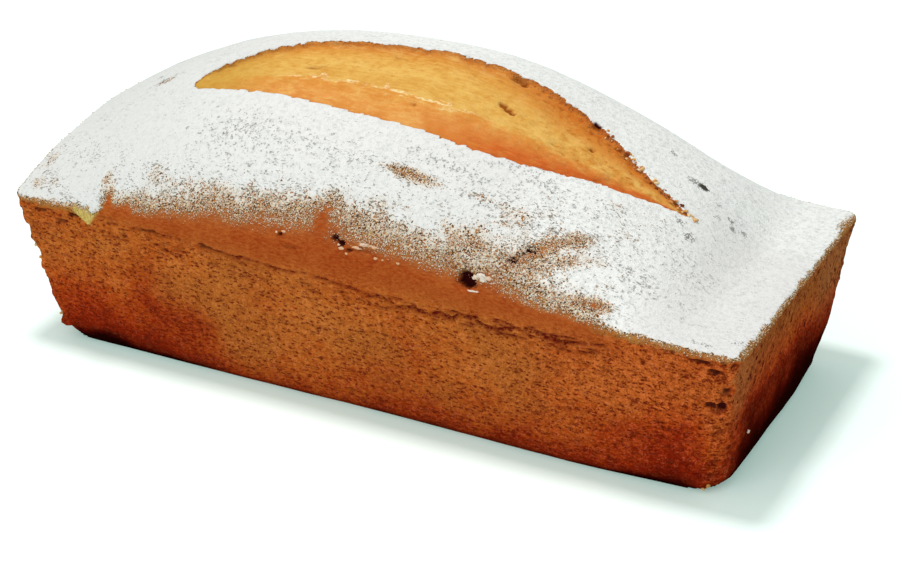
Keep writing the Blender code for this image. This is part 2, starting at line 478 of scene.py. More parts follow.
# Places where the thick coat is broken by small gaps, painted near black as shade, in the same terms.
GAP_SPOTS = (
    (79.4, 15.0, 1.6, 1.3, 30.0, 3.0),
    (76.8, 14.0, 2.2, 2.1, 0.0, 1.2),
    (68.3, 20.3, 1.3, 1.0, 0.0, 1.3),
    (84.4, 13.3, 1.6, 0.9, 0.0, 1.1),
    (86.4, 7.4, 1.6, 1.4, 0.0, 0.9),
    (89.2, 11.4, 1.5, 1.0, -50.0, 1.2),
    (90.6, 9.2, 1.5, 1.0, -50.0, 1.2),
    (93.2, 11.4, 1.4, 1.0, -50.0, 1.2),
    (80.6, -6.4, 1.5, 1.7, 0.0, 1.2),
    (84.4, -9.2, 1.6, 2.2, 0.0, 1.4),
    (103.5, -48.8, 4.4, 1.4, 0.0, 0.9),
    (111.2, -43.4, 2.2, 1.1, 40.0, 0.9),
    (102.7, 14.2, 2.6, 0.8, 20.0, 0.6),
    (95.0, -40.0, 4.0, 1.5, 0.0, 0.5),
    (-87.5, -7.0, 6.0, 2.4, 30.0, 0.75),
    (-92.6, -2.6, 3.0, 1.6, 30.0, 0.85),
    (-108.4, -43.0, 1.2, 1.0, 0.0, 1.3),
    (-98.0, -36.0, 12.0, 16.0, 0.0, 0.42),
    (-42.0, -35.0, 28.0, 9.0, -6.0, 0.62),
    (-20.0, -36.0, 34.0, 6.0, -4.0, 0.50),
    (-45.0, -28.0, 9.0, 3.0, -10.0, 0.5),
    (45.0, -38.0, 24.0, 6.0, -4.0, 0.55),
    (88.0, -22.0, 14.0, 12.0, 0.0, 0.45),
    (80.0, -37.0, 12.0, 7.0, 0.0, 0.66),
    (24.0, -32.0, 20.0, 5.0, -4.0, 0.62),
    (45.0, -24.0, 26.0, 8.0, -8.0, 0.58),
)
HALF_LENGTH = 0.5 * (loaf_high.x - loaf_low.x) / MM
HALF_WIDTH = 0.5 * (loaf_high.y - loaf_low.y) / MM
RIM_HEIGHT = 47.4
# The slope of the crust, as the upward part of its normal, where sugar starts to hold and is whole.
SUGAR_HOLDS_AT = 0.28
SUGAR_WHOLE_AT = 0.63
RIGHT_EXTRA = 0.15
LEFT_EXTRA = 0.10


def flat_spot(points, x, y, half_length, half_width, turn):
    """1 in the middle of an oval seen from above, fading to 0 outside it."""
    angle = np.radians(turn)
    along = (points[:, 0] - x) * np.cos(angle) + (points[:, 1] - y) * np.sin(angle)
    across = (points[:, 1] - y) * np.cos(angle) - (points[:, 0] - x) * np.sin(angle)
    return np.exp(-(along / half_length) ** 2 - (across / half_width) ** 2)


def sugar_field(points, facing, inside):
    """The share of the crust that sugar hides: 0 bare, 1 just whole, more where it lies thick."""
    x, y, z = points.T
    right = step_up(28.0, 48.0, x) * (1.0 - step_up(74.0, 84.0, x)) * (y < 0.0)
    whole_at = SUGAR_WHOLE_AT + RIGHT_EXTRA * right
    left = (1.0 - step_up(-66.0, -44.0, x)) * (y < 0.0)
    cover = (facing - SUGAR_HOLDS_AT) / (whole_at - SUGAR_HOLDS_AT) + LEFT_EXTRA * left
    cover = np.where(cover > 1.0, 1.0 + 0.9 * (cover - 1.0), cover)
    uneven = 0.16 * lumps(points, 7.5, 21) + 0.13 * lumps(points, 3.1, 22) + 0.10 * lumps(points, 1.5, 23)
    cover = cover + uneven * step_up(-0.3, 0.2, cover)
    top = step_up(44.0, 47.0, z)
    for spot_x, spot_y, half_length, half_width, turn, strength in BARE_SPOTS:
        cover = cover - strength * top * flat_spot(points, spot_x, spot_y, half_length, half_width, turn)
    end_gap = HALF_LENGTH - 4.8 * (1.0 - z / RIM_HEIGHT) - np.abs(x)
    side_gap = HALF_WIDTH - 8.6 * (1.0 - z / RIM_HEIGHT) - np.abs(y)
    flat_top = np.maximum(step_up(76.0, 88.0, x), 1.0 - step_up(-104.0, -92.0, x))
    to_rim = np.minimum(end_gap, side_gap)
    fray = 0.7 * lumps(points, 2.2, 24) + 0.5 * lumps(points, 1.0, 25)
    bare_rim = 1.5 + step_up(74.0, 96.0, x) * (0.3 + 0.7 * (y < -40.0)) * (y < 44.0)
    thinned = step_up(0.0, 1.8, bare_rim - to_rim - fray) * step_up(44.0, 46.0, z) * flat_top
    cover = cover * (1.0 - 0.85 * thinned)
    drift = 0.6 * step_up(-7.0, -1.0, inside)
    return np.where(inside > 0.0, -1.0, np.clip(cover + drift, -1.0, 3.0))


def gap_field(points, sugar):
    """Where small gaps show in the thick coat, painted near black as shade."""
    gaps = np.zeros(len(points))
    for spot_x, spot_y, half_length, half_width, turn, strength in GAP_SPOTS:
        here = strength * flat_spot(points, spot_x, spot_y, half_length, half_width, turn)
        gaps = np.maximum(gaps, here)
    return gaps * step_up(0.6, 1.0, sugar) * (points[:, 2] > 44.0)


# %% The shoulder line and the band above it
# The torn line under the risen band: place along the loaf and height, in millimetres.
TEAR = (
    (-92.0, 48.0), (-73.0, 46.6), (-66.8, 45.3), (-58.0, 46.3), (-48.0, 45.4), (-41.4, 44.3), (-30.8, 44.0),
    (-25.6, 43.8), (-19.6, 43.0), (-12.8, 44.3), (-5.7, 43.3), (0.6, 42.9), (7.2, 41.2), (11.0, 42.6),
    (15.3, 39.6), (19.5, 41.3), (22.7, 40.3), (26.5, 39.8), (30.1, 42.2), (32.2, 39.9), (36.3, 42.2),
    (40.5, 42.3), (44.1, 39.6), (48.8, 40.5), (52.7, 42.3), (58.2, 43.0), (62.7, 41.3), (67.2, 41.0),
    (71.8, 42.2), (76.3, 42.9), (88.0, 45.0),
)


def tear_height(x, side):
    """Height of the tear; the far side has the same wander, turned end for end and softened."""
    along, heights = np.array(TEAR).T
    near = np.interp(x, along, heights)
    far = 0.5 * (np.interp(-x, along, heights) + 43.0)
    return np.where(side < 0.0, near, far)


def band_fields(points, normals):
    """The risen band on the long sides, the pinched line under it that is also painted as shade, and where that line
    is closed.
    """
    x, y, z = points.T
    side = np.sign(y)
    on_side = step_up(0.5, 0.8, np.abs(normals[:, 1]))
    along = step_up(-92.0, -76.0, x) * (1.0 - step_up(72.0, 86.0, x))
    line = tear_height(x, side)
    level = 43.0 + 2.5 * step_up(-30.0, -80.0, x)
    band = step_up(-2.5, 5.5, z - level) * along * step_up(44.0, 48.0, np.abs(y))
    stretch = points * (0.35, 1.0, 1.0)
    torn = step_up(10.0, 26.0, x) * (1.0 - step_up(78.0, 84.0, x))
    faint = 0.75 + 0.25 * torn
    open_part = step_up(-0.35, 0.25, lumps(stretch, 1.3, 31) + 0.4 * torn + 0.05)
    pinch = hump(z, line + 0.5 * lumps(points, 1.6, 34) + 0.35 * lumps(points, 0.9, 38), 0.42 + 0.12 * torn) * open_part * faint
    strands = 0.0
    for drop, seed in ((-2.6, 35), (-1.3, 36), (1.1, 37)):
        waver = 0.9 * lumps(stretch, 1.9, seed)
        kept = step_up(0.05, 0.4, lumps(stretch, 1.2, seed + 10) + 0.25 * torn - 0.12)
        strands = np.maximum(strands, hump(z, level - 1.2 + drop + waver, 0.36) * kept)
    blots = pits(points, (3.4, 3.0, 1.9), 0.6, 33) * hump(z, line - 0.3, 1.8) * torn
    pinch = np.maximum(np.maximum(pinch, 0.75 * strands * faint), 1.1 * blots) * on_side * along
    closed = hump(z, 42.4, 1.7) * on_side * step_up(-90.0, -76.0, x) * (1.0 - step_up(80.0, 90.0, x))
    return band, np.clip(pinch, 0.0, 1.0), closed


# %% How dark the wall's crust is, with painted light on its shaded foot


def corner_field(points):
    """1 on the four upright corners, fading along the walls."""
    x, y, z = points.T
    lean = 1.0 - np.clip(z / RIM_HEIGHT, 0.0, 1.0)
    to_end = HALF_LENGTH - 4.8 * lean - np.abs(x)
    to_side = HALF_WIDTH - 8.6 * lean - np.abs(y)
    return np.exp(-(np.hypot(to_end, to_side) / 9.0) ** 2)


def bake_and_light_field(points, normals, corner):
    """From 0, pale tan, to 1, nearly black; lowered as painted light where the rounded foot and corners get little
    light.
    """
    x, y, z = points.T
    on_end = step_up(0.45, 0.9, np.abs(normals[:, 0]))
    foot = np.exp(-np.clip(z, 0.0, None) / 4.0)
    low = 0.15 * (1.0 - step_up(4.0, 27.0, z))
    left_foot = 0.32 * (1.0 - step_up(-72.0, -36.0, x)) * (1.0 - step_up(10.0, 36.0, z))
    left_foot = left_foot * (0.25 + 0.75 * step_up(-108.0, -86.0, x))
    left_foot = left_foot + 0.15 * hump(x, -71.0, 11.0) * hump(z, 31.0, 9.0) * (y < 0.0)
    right_side = (0.34 - 0.05 * on_end) * step_up(44.0, 104.0, x) * (1.0 - step_up(16.0, 34.0, z))
    right_side = right_side - 0.17 * step_up(15.0, 50.0, x) * step_up(18.0, 30.0, z)
    # Painted light: below about 25 mm the end is made paler, because its rounded foot faces down and gets little
    # light.
    end_foot = 0.58 - 0.32 * np.clip((z - 25.0) / 20.0, 0.0, 1.0) - 0.26 * (1.0 - step_up(17.0, 26.0, z))
    end_foot = end_foot - (0.06 * step_up(-30.0, -10.0, y) + 0.14 * step_up(8.0, 30.0, y)) * step_up(13.0, 23.0, z)
    end_foot = on_end * end_foot * (0.4 + 0.6 * (x > 0.0)) * (0.45 + 0.55 * step_up(-48.0, -36.0, y))
    patchy = 0.11 * lumps(points, 17.0, 41) + 0.06 * lumps(points, 6.0, 42)
    burnt = 0.30 * hump(x, -92.0, 9.0) * (1.0 - step_up(0.0, 8.0, z)) * (y < 0.0)
    # Painted light: the rounded lower corners are made paler, because they turn away from the light.
    right_side = right_side * (1.0 - 0.85 * corner) - 0.10 * corner * (x > 0.0) * (y < 0.0)
    return np.clip(0.22 + 0.42 * foot + low + left_foot + right_side + end_foot + burnt + patchy, 0.0, 1.05)


# %% [markdown]
# ## Relief
# The crust is not smooth. Wall pores lie flat along the long sides and stand upright on the
# ends, the way bubbles were dragged by the tin. Corners are ragged. The torn inside of the
# split is bumpy crumb with a few large holes. The sugar coat adds a soft, clumpy thickness.
# Each point is moved along its normal by the sum of these, so the relief is real geometry.

# %% Single holes, folds and burrs
# Hollows: centre, reach along x, y and z, depth, all in millimetres, and how much shade is painted inside.
HOLLOWS = (
    ((37.7, -52.0, 53.1), (3.1, 3.0, 2.7), 3.6, 1.0),
    ((-3.8, -51.6, 56.9), (1.3, 2.5, 0.9), 1.3, 0.9),
    ((-1.6, -51.8, 55.7), (1.4, 2.5, 0.9), 1.5, 1.0),
    ((1.0, -52.2, 54.3), (1.1, 2.0, 0.6), 0.9, 0.8),
    ((5.6, -51.8, 55.1), (3.6, 2.0, 0.5), 0.5, 0.25),
    ((-21.4, -52.1, 54.5), (0.9, 2.0, 0.6), 0.7, 0.8),
    ((-18.5, -52.9, 51.2), (2.8, 2.0, 0.5), 0.5, 0.4),
    ((25.2, -4.6, 86.3), (1.7, 1.0, 5.0), 1.1, 0.90),
    ((27.4, -5.4, 85.8), (1.6, 1.1, 5.0), 1.5, 1.0),
    ((29.2, -5.9, 85.2), (1.2, 0.9, 5.0), 1.2, 0.95),
    ((22.2, 11.2, 88.6), (1.7, 0.8, 5.0), 1.0, 0.65),
    ((24.8, 10.8, 88.0), (1.3, 0.7, 5.0), 1.0, 0.80),
    ((-13.0, 5.0, 91.6), (2.8, 0.8, 5.0), 0.9, 0.60),
    ((-36.4, -7.2, 88.3), (3.2, 0.9, 5.0), 0.9, 0.55),
    ((-33.8, -6.0, 88.8), (2.2, 0.8, 5.0), 0.7, 0.45),
    ((-38.2, -4.6, 88.4), (5.0, 0.9, 2.5), 0.6, 0.0),
    ((2.5, -15.8, 86.8), (0.9, 0.7, 5.0), 0.7, 0.65),
    ((49.5, 7.6, 79.6), (1.5, 0.9, 5.0), 1.0, 1.0),
    ((60.5, 3.5, 76.6), (1.3, 0.9, 4.0), 0.8, 0.9),
    ((52.6, -2.6, 79.0), (1.0, 0.7, 5.0), 0.9, 0.9),
    ((49.2, -46.9, 59.5), (2.0, 0.8, 1.0), 0.9, 1.0),
    ((53.2, -43.3, 61.7), (1.9, 0.8, 1.0), 0.9, 1.0),
    ((-102.6, -45.2, 3.3), (1.8, 2.0, 1.0), 1.3, 0.9),
    ((111.9, -50.6, 36.3), (1.6, 2.2, 1.8), 1.0, 0.70),
    ((106.8, -50.0, 31.2), (1.9, 2.0, 1.2), 1.0, 0.80),
    ((110.4, -50.0, 30.4), (2.2, 2.2, 2.0), 1.6, 0.95),
    ((107.9, -52.2, 42.4), (1.9, 2.0, 1.0), 0.9, 0.80),
    ((103.6, -52.5, 44.9), (3.4, 2.0, 0.7), 0.8, 0.80),
    ((-104.5, -52.6, 44.9), (3.4, 2.0, 0.7), 0.8, 0.6),
    ((-97.4, -52.6, 42.6), (3.2, 2.0, 0.7), 0.7, 0.6),
    ((-93.0, -52.6, 45.4), (2.4, 2.0, 0.8), 1.0, 0.8),
    ((-66.0, -52.6, 46.0), (3.8, 2.0, 0.7), 0.9, 0.6),
    ((-47.0, -52.6, 44.9), (3.0, 2.0, 0.7), 0.8, 0.6),
    ((-8.0, 52.0, 50.0), (2.4, 2.5, 1.4), 1.6, 0.9),
    ((46.0, 52.0, 46.5), (1.8, 2.5, 0.9), 1.0, 0.7),
    ((-114.0, 12.0, 34.0), (2.0, 1.4, 1.8), 0.9, 0.6),
)
# Burrs stand out: centre, reach and height.
BURRS = (
    ((-104.0, -45.6, 6.3), (2.8, 2.6, 1.1), 3.2),
    ((-109.6, -49.0, 24.5), (1.6, 1.6, 1.2), 0.9),
    ((-111.5, -50.5, 33.5), (1.6, 1.6, 1.0), 0.8),
    ((105.0, -43.0, 1.2), (1.6, 2.0, 1.0), 0.9),
    ((105.8, 45.5, 4.0), (2.2, 2.2, 1.2), 1.2),
    ((114.6, 51.0, 44.0), (1.6, 2.0, 2.2), 0.9),
    ((-108.0, 44.0, 9.0), (2.0, 2.0, 1.6), 0.9),
)
FOLD_START = np.array((48.2, -47.6))
FOLD_END = np.array((55.6, -41.4))


def spot(points, centre, reach):
    return np.exp(-(((points - centre) / reach) ** 2).sum(1))


def fold_field(points):
    """A short pinched fold in the crust near the shoulder."""
    run = FOLD_END - FOLD_START
    length = np.linalg.norm(run)
    run = run / length
    away = points[:, :2] - FOLD_START
    along = away @ run
    across = away @ np.array((-run[1], run[0])) + 0.5 * np.sin(along / 1.3)
    return hump(across, 0.0, 0.55) * step_up(-1.0, 1.5, along) * (1.0 - step_up(length - 3.0, length + 1.0, along))


# %% The crust's skirt over the rim and its one hanging flap
FLAP_TIP = (-87.1, 43.4)
FLAP_TOP_LEFT = (-92.8, 48.4)
FLAP_TOP_RIGHT = (-82.9, 49.6)


def flap_field(points):
    """1 inside a small three-sided tongue of crust that hangs over the near rim."""
    x, y, z = points.T
    slope_left = (FLAP_TOP_LEFT[1] - FLAP_TIP[1]) / (FLAP_TOP_LEFT[0] - FLAP_TIP[0])
    slope_right = (FLAP_TOP_RIGHT[1] - FLAP_TIP[1]) / (FLAP_TOP_RIGHT[0] - FLAP_TIP[0])
    over_left = z - (FLAP_TIP[1] + slope_left * (x - FLAP_TIP[0]))
    over_right = z - (FLAP_TIP[1] + slope_right * (x - FLAP_TIP[0]))
    lean_back = FLAP_TOP_RIGHT[0] - 0.4 * (z - FLAP_TOP_RIGHT[1]) - x
    over_right = np.where(z > FLAP_TOP_RIGHT[1], lean_back, over_right * 0.7)
    near = (y < -40.0) & (z < 56.0)
    return step_up(-0.5, 0.7, np.minimum(over_left, over_right)) * near


def skirt_field(points):
    """The thin crust edge left at rim height where the top did not rise above the tin."""
    x, y, z = points.T
    flat_part = np.maximum(1.0 - step_up(-92.0, -82.0, x), step_up(70.0, 84.0, x))
    wobble = 0.5 * lumps(points * (1.0, 1.0, 0.0), 4.0, 51) + 0.5 * lumps(points, 1.4, 52)
    return flat_part * step_up(45.9, 46.7, z + wobble) * (1.0 - step_up(48.0, 49.0, z))


# %% Move the points
def relief(points, normals, fields):
    x, y, z = points.T
    inside, across = fields["inside"], fields["across"]
    wall = (1.0 - step_up(0.35, 0.65, normals[:, 2])) * step_up(-0.9, -0.5, normals[:, 2])
    end = step_up(0.5, 0.8, np.abs(normals[:, 0]))
    crumb = wall * (1.0 - 0.85 * fields["band"]) * (1.0 - step_up(45.0, 50.0, z))
    slow = 0.22 * lumps(points, 16.0, 61) + 0.14 * lumps(points, 6.0, 62)
    side_pits = pits(points, (3.0, 2.2, 1.5), 0.5, 63)
    end_pits = pits(points, (2.0, 1.8, 3.0), 0.45, 64)
    wall_pits = side_pits * (1.0 - end) + end_pits * end
    corner_pits = pits(points, (4.4, 4.4, 2.6), 0.6, 65) * fields["corner"]
    jagged = 0.45 * lumps(points, 3.4, 73) + 0.55 * lumps(points, 1.7, 74)
    scallops = jagged * fields["corner"] * wall * (0.4 + 0.6 * (x < 0.0))
    ends = np.maximum(1.0 - step_up(-100.0, -84.0, x), step_up(82.0, 100.0, x))
    under_skirt = pits(points, (2.8, 2.4, 1.5), 0.62, 77) * hump(z, 44.9, 1.3) * ends * wall
    depth = crumb * (0.34 * wall_pits + 0.8 * corner_pits) + 0.7 * under_skirt
    depth = depth + 0.9 * fields["pinch"]

    torn = step_up(0.0, 0.9, inside)
    crumbly = 1.0 + 0.9 * step_up(5.0, 45.0, x)
    bumpy = (0.26 * lumps(points * (0.5, 1.0, 1.0), 4.0, 67) + 0.17 * lumps(points, 1.9, 68)) * crumbly
    torn_pits = pits(points, (2.4, 1.8, 2.0), 0.18, 69) * crumbly
    rim_pits = pits(points, (1.8, 1.5, 1.8), 0.6, 70) * step_up(0.74, 0.92, across) * step_up(12.0, 45.0, x)
    depth = depth + torn * (0.3 * torn_pits + 0.6 * rim_pits - bumpy)
    depth = depth + 0.35 * torn * hump(inside, 0.5, 0.7)

    coat = step_up(0.15, 1.0, fields["sugar"])
    clumps = 0.5 + 0.5 * lumps(points, 1.6, 71) + 0.35 * lumps(points, 4.5, 72)
    rise = coat * (0.16 + 0.14 * clumps) + 0.22 * coat * hump(inside, -0.5, 0.9)

    # How much shade is painted inside the hollows, kept as a field for the finish.
    dark = np.zeros(len(points))
    ragged = 1.0 + 0.55 * lumps(points, 1.2, 75)
    for centre, reach, drop, shade_share in HOLLOWS:
        here = spot(points, centre, reach)
        depth = depth + drop * step_up(0.15, 0.75, here * ragged)
        dark = np.maximum(dark, shade_share * step_up(0.25, 0.6, here * ragged))
    fold = fold_field(points) * (z > 52.0)
    depth = depth + 0.8 * fold
    for centre, reach, height in BURRS:
        rise = rise + height * spot(points, centre, reach)
    rise = rise + 0.6 * fields["flap"] * (1.0 - step_up(47.5, 52.5, z)) + 0.22 * fields["skirt"] + 0.42 * fields["closed"]
    moved = slow * (1.0 - 0.4 * coat) + scallops + rise - depth
    # This field marks pores, pits, the fold and the pits under the skirt, where the finish paints shade.
    pit = np.clip(crumb * (0.6 * wall_pits + corner_pits) + torn * 0.9 * rim_pits, 0.0, 1.0)
    pit = np.maximum(pit, np.maximum(fold, under_skirt))
    return moved, pit, dark


def out_of_square(points):
    """How far points move along and across the loaf, because a baked loaf is never quite true."""
    x, y, z = points.T
    near = 1.0 - step_up(-50.0, 40.0, y)
    right_end = step_up(55.0, 110.0, x)
    left_end = 1.0 - step_up(-110.0, -60.0, x)
    far_foot = step_up(0.0, 50.0, y) * (1.0 - step_up(4.0, 20.0, z))
    near_foot = near * (1.0 - step_up(0.0, 7.0, z))
    along = right_end * (1.2 + 1.3 * near - 1.6 * far_foot - 1.4 * near_foot)
    along = along + left_end * (2.7 - 2.9 * step_up(3.0, 13.0, z) - 1.4 * step_up(28.0, 44.0, z))
    foot = 1.0 - np.clip(z / RIM_HEIGHT, 0.0, 1.0)
    spread = (2.3 - 0.6 * hump(x, 5.0, 30.0)) * (1.0 - 0.85 * step_up(66.0, 108.0, x))
    across = -spread * foot * (1.0 - step_up(-44.0, -5.0, y))
    return along, across


facing = smoothed(normals, edges, 6, 0.5)[:, 2]
fields = {}
fields["inside"], fields["across"] = split_fields(points)
fields["sugar"] = sugar_field(points, facing, fields["inside"])
fields["band"], fields["pinch"], fields["closed"] = band_fields(points, normals)
fields["corner"] = corner_field(points)
fields["bake"] = bake_and_light_field(points, normals, fields["corner"])
fields["flap"] = flap_field(points)
fields["skirt"] = skirt_field(points)
flap_height = points[:, 2] + 0.22 * (points[:, 0] - FLAP_TIP[0]) + 0.9 * lumps(points, 1.5, 76)
flap_cover = fields["flap"] * step_up(47.4, 50.6, flap_height) * 1.7
fields["sugar"] = np.maximum(fields["sugar"], np.where(fields["flap"] > 0.4, flap_cover, -1.0))
fields["gaps"] = gap_field(points, fields["sugar"])
moved, fields["pit"], fields["hole"] = relief(points, normals, fields)
shaped = points + normals * moved[:, None]
along, across = out_of_square(points)
shaped[:, 0] += along
shaped[:, 1] += across
underside = normals[:, 2] < -0.8
shaped[:, 2] = np.maximum(shaped[:, 2], 0.0)
shaped[underside & (points[:, 2] < 0.7), 2] = 0.0
write_points(loaf.data, shaped)
print("relief from", moved.min().round(2), "to", moved.max().round(2), "mm")

# %% Keep the fields on the skin
KEPT_FIELDS = ("inside", "across", "sugar", "gaps", "band", "pinch", "bake", "flap", "skirt", "pit", "hole")
for name in KEPT_FIELDS:
    layer = loaf.data.attributes.new(name, "FLOAT", "POINT")
    layer.data.foreach_set("value", fields[name].astype(np.float32))
loaf.data.shade_smooth()
print("fields kept:", ", ".join(KEPT_FIELDS))

# %% [markdown]
# ## The finish of the loaf
# One material covers the body, because sugar thins into crust and crust turns into crumb without
# an edge. The stored fields say where each finish lies. Fine textures break them up: sugar cover
# is compared with grainy noise, so a half cover becomes white and brown specks and not a grey.

# %% Fine textures of the loaf
loaf_finish, loaf_shader, start = new_finish("baked loaf", (0.47, 0.17, 0.04), 0.75)
grain = clouds(start, (0.55, 0.55, 0.55), 2.0, 0.6) - 0.5
clump = clouds(start, (1.5, 1.5, 1.5), 1.0) - 0.5
drift = clouds(start, (6.0, 6.0, 6.0), 2.0) - 0.5
broad = clouds(start, (21.0, 21.0, 14.0), 2.0) - 0.5
chance = cells(start, (0.42, 0.42, 0.42), 1)
chance = chance.node("ShaderNodeSeparateColor", {}, {0: chance})
first_chance = chance
second_chance = chance.also(1)
third_chance = chance.also(2)

normal = start.node("ShaderNodeNewGeometry", {}, {}, 1)
normal_x = normal.node("ShaderNodeSeparateXYZ", {}, {0: normal})
on_end = (normal_x.maths("ABSOLUTE", normal_x) + clump * 0.25 + grain * 0.2).between(0.62, 0.98)
place = start.node("ShaderNodeTexCoord", {}, {}, 3)
place_x = place.node("ShaderNodeSeparateXYZ", {}, {0: place})
place_z = place_x.also(2) * (1.0 / MM)
place_x = place_x * (1.0 / MM)


def pores(start, sizes, waver, low, high, rarity):
    """Scattered hollows with wavering outlines: 1 inside a hollow, 0 around it."""
    steps = stretched(start, sizes)
    noise = start.node("ShaderNodeTexNoise", {}, {"Vector": steps, "Scale": 1.7, "Detail": 1.0}, 1)
    moved = start.node("ShaderNodeVectorMath", {"operation": "MULTIPLY_ADD"}, {0: noise, 1: (waver,) * 3, 2: steps})
    distance = start.node("ShaderNodeTexVoronoi", {}, {"Vector": moved, "Scale": 1.0})
    colour = distance.also(1)
    here = colour.node("ShaderNodeSeparateColor", {}, {0: colour})
    return (1.0 - distance.between(low, high)) * here.between(rarity, rarity + 0.5)


side_pores = pores(start, (1.8, 1.4, 0.85), 1.3, 0.10, 0.60, 0.02)
end_pores = pores(start, (1.7, 1.7, 2.3), 0.8, 0.14, 0.56, 0.12)
wall_pores = on_end.node("ShaderNodeMix", {"data_type": "FLOAT"}, {0: on_end, 2: side_pores, 3: end_pores})
print("textures made:", len(loaf_finish.node_tree.nodes), "nodes")

# %% Crust and crumb of the walls
sugar = stored(start, "sugar")
inside = stored(start, "inside")
across = stored(start, "across")
band = stored(start, "band")
pinch = stored(start, "pinch")
bake = stored(start, "bake")
pit = stored(start, "pit")
hole = stored(start, "hole")
flap = stored(start, "flap")
skirt = stored(start, "skirt")

side_fibre = clouds(start, (1.5, 1.0, 0.65), 3.0, 0.7) - 0.5
end_fibre = clouds(start, (0.8, 0.8, 1.5), 3.0, 0.7) - 0.5
fibre = on_end.node("ShaderNodeMix", {"data_type": "FLOAT"}, {0: on_end, 2: side_fibre, 3: end_fibre})
calm = 1.0 - bake.between(0.45, 0.85) * 0.75
browning_and_light = bake + (broad * 0.42 + drift * 0.30 + fibre * 1.25 + grain * 0.5) * calm
WALL_STOPS = (
    (0.0, (0.48, 0.140, 0.024)),
    (0.25, (0.400, 0.086, 0.0105)),
    (0.45, (0.335, 0.050, 0.0055)),
    (0.65, (0.220, 0.0155, 0.0025)),
    (0.85, (0.060, 0.0035, 0.0012)),
    (1.0, (0.010, 0.0014, 0.0008)),
)
wall = browning_and_light.node("ShaderNodeValToRGB", {"stops": WALL_STOPS}, {0: browning_and_light})
ochre = (clouds(start, (30.0, 30.0, 16.0), 2.0) - 0.5).between(-0.05, 0.16) * (1.0 - on_end)
ochre = ochre * (1.0 - bake.between(0.30, 0.58))
wall = (ochre * 0.55).mixed(wall, (0.350, 0.105, 0.017))
place_y = place_z.node("ShaderNodeSeparateXYZ", {}, {0: place}, 1) * (1.0 / MM)
far_part = place_y.between(8.0, 30.0)
near_corner = 1.0 - place_y.between(-45.0, -32.0)
olive = on_end * (place_z + far_part * 9.0 + near_corner * 9.0).between(27.0, 46.0)
olive_tone = near_corner.mixed((0.215, 0.076, 0.018), (0.290, 0.098, 0.028))
olive_tone = far_part.mixed(olive_tone, (0.240, 0.100, 0.034))
wall = (olive * (0.9 + fibre * 2.0 + grain)).mixed(wall, olive_tone)
not_burnt = 1.0 - bake.between(0.70, 0.92) * 0.95
reddened = bake.between(0.22, 0.50)
open_pores = wall_pores * (1.0 - band * 0.8) * not_burnt
halo = (open_pores - 0.22).maths("ABSOLUTE", open_pores - 0.22)
halo = (1.0 - halo.between(0.0, 0.2)) * open_pores.between(0.0, 0.1) * (0.30 - reddened * 0.2)
wall = halo.mixed(wall, (0.50, 0.160, 0.040))
# Pores are painted dark red: partly the crumb's own colour, partly painted shade in the hollows.
pore_tone = on_end.mixed((0.155, 0.011, 0.003), (0.060, 0.005, 0.003))
wall = (open_pores.between(0.15, 0.80) * 0.90).mixed(wall, pore_tone)
coarse_right = place_x.between(25.0, 105.0)
# The large pores on the right are painted dark too: partly own colour, partly painted shade.
large_pores = pores(start, (3.6, 2.6, 1.8), 1.2, 0.10, 0.50, 0.40) * coarse_right * (1.0 - on_end) * not_burnt
wall = (large_pores * 0.9).mixed(wall, (0.105, 0.004, 0.002))
sandy = (grain * 3.6 + clump * 1.6 - 0.1) * (0.72 + coarse_right * 0.40) * (1.0 - bake.between(0.50, 0.95))
sand = on_end.mixed((0.60, 0.195, 0.062), (0.42, 0.150, 0.042))
sand = reddened.mixed(sand, (0.50, 0.115, 0.045))
wall = sandy.mixed(wall, sand)
wall = (sandy * -0.75).mixed(wall, (0.10, 0.012, 0.003))
left_red = (1.0 - place_x.between(-98.0, -48.0)) * (1.0 - place_z.between(12.0, 36.0))
redder = wall.node("ShaderNodeVectorMath", {"operation": "MULTIPLY"}, {0: wall, 1: (1.03, 0.76, 0.74)})
wall = (left_red * 0.8).maths("MAXIMUM", left_red * 0.8, coarse_right * (1.0 - on_end * 0.6)).mixed(wall, redder)
# Painted shade in the pits, the fold and under the skirt.
wall = (pit * 0.7 * not_burnt).mixed(wall, (0.11, 0.010, 0.005))
band_tone = (fibre * 2.8 + drift * 0.9 + broad * 0.6 + 0.5).mixed((0.385, 0.088, 0.017), (0.26, 0.034, 0.006))
wall = (band * 0.9).mixed(wall, band_tone)
# Painted shade: the pinched line under the band is near black-red, as its groove lies in shade.
wall = (pinch * (1.15 + clump * 3.6 + grain * 2.4)).mixed(wall, (0.105, 0.006, 0.004))
skirt_tone = skirt * (0.68 + drift * 1.2 + grain * 2.6) * (1.0 - pit)
wall = skirt_tone.mixed(wall, (0.32, 0.145, 0.034))
wall = (flap * (0.85 + grain * 2.5)).mixed(wall, (0.57, 0.46, 0.13))

# %% The torn crumb inside the split
SPLIT_STOPS = (
    (0.0, (0.570, 0.195, 0.040)),
    (0.14, (0.610, 0.240, 0.058)),
    (0.27, (0.590, 0.225, 0.044)),
    (0.36, (0.590, 0.320, 0.070)),
    (0.62, (0.620, 0.350, 0.080)),
    (0.85, (0.590, 0.255, 0.045)),
    (1.0, (0.510, 0.160, 0.026)),
)
across_wavy = across + drift * 0.20 + clump * 0.10
crumb = across_wavy.node("ShaderNodeValToRGB", {"stops": SPLIT_STOPS}, {0: across_wavy})
to_right = place_x.between(15.0, 95.0)
streak = clouds(start, (5.0, 1.0, 1.2), 3.0, 0.6) - 0.5
crumb = (to_right * 0.6).mixed(crumb, (0.56, 0.165, 0.024))
crumb = (streak * 1.4 + drift * 1.1 + grain * 0.6 + 0.12).mixed(crumb, (0.70, 0.46, 0.14))
crumb = (streak * -1.8 + drift * -1.4 + clump * 0.8 + 0.05).mixed(crumb, (0.52, 0.23, 0.04))
